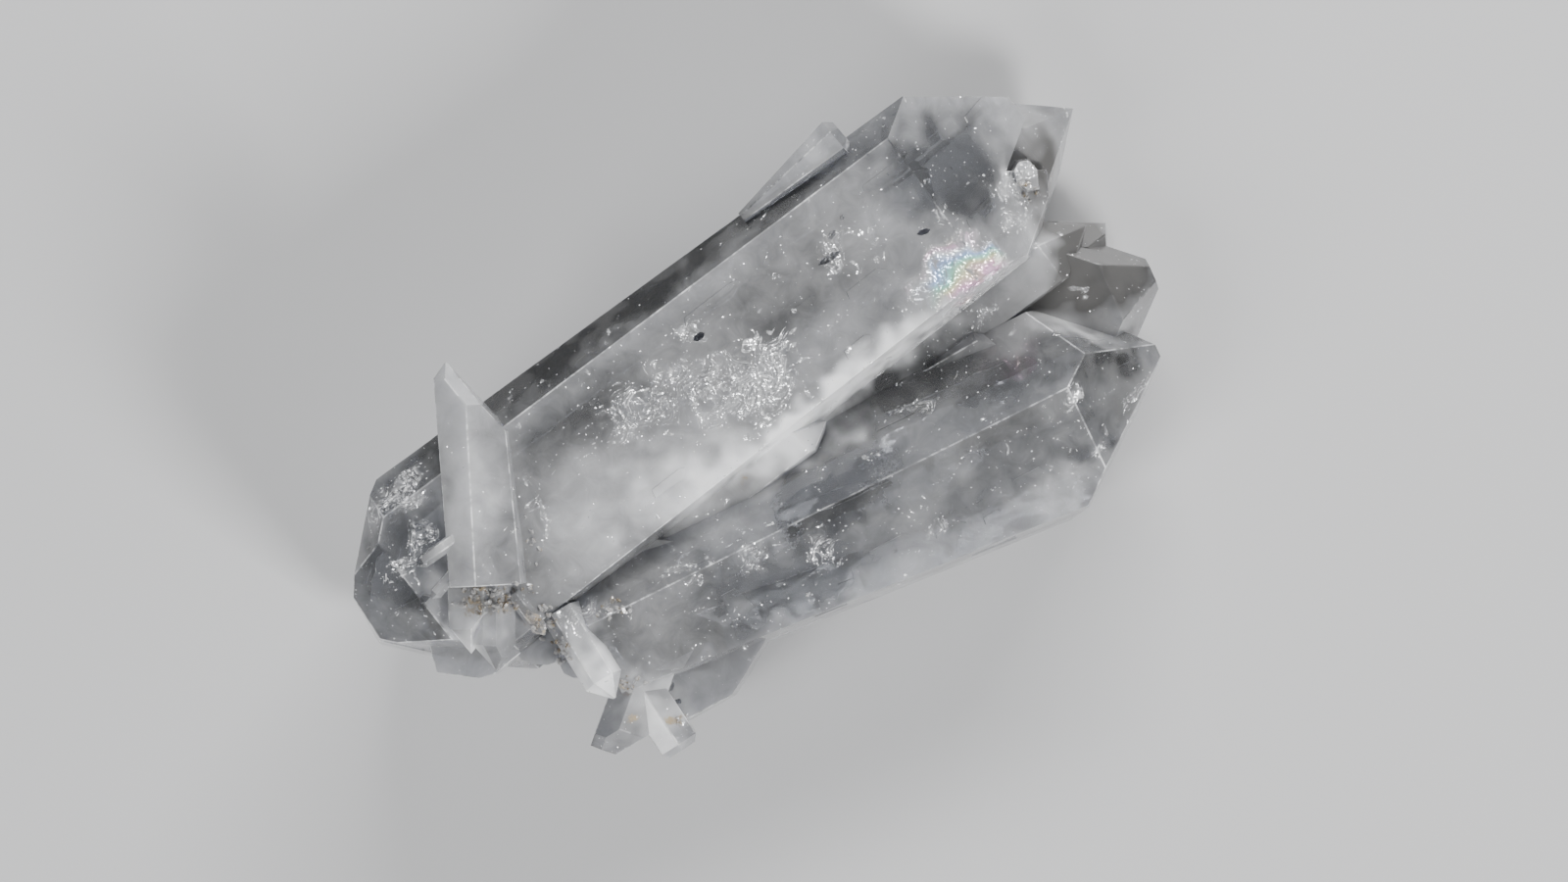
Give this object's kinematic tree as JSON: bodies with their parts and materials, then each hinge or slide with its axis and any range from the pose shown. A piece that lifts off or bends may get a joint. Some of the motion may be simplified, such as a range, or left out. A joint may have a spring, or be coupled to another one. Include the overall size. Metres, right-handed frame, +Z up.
{
  "type": "quartz crystal cluster",
  "caption": "Clear to milky quartz crystals grown together in one piece: two large pointed prisms side by side, with smaller crystals at their feet and tips.",
  "frame": {"origin": "middle of the bounding box in X and Y, on the surface the cluster rests on", "axes": "+X towards the points of the two large crystals, +Y towards the upper side of the largest one as pictured, +Z up from the resting face, towards the pictured side"},
  "size_m": [0.1236, 0.1014, 0.0405],
  "materials": {
    "quartz": "gloss"
  },
  "bodies": {
    "root": {"quartz_cluster": "quartz"}
  },
  "joints": []
}
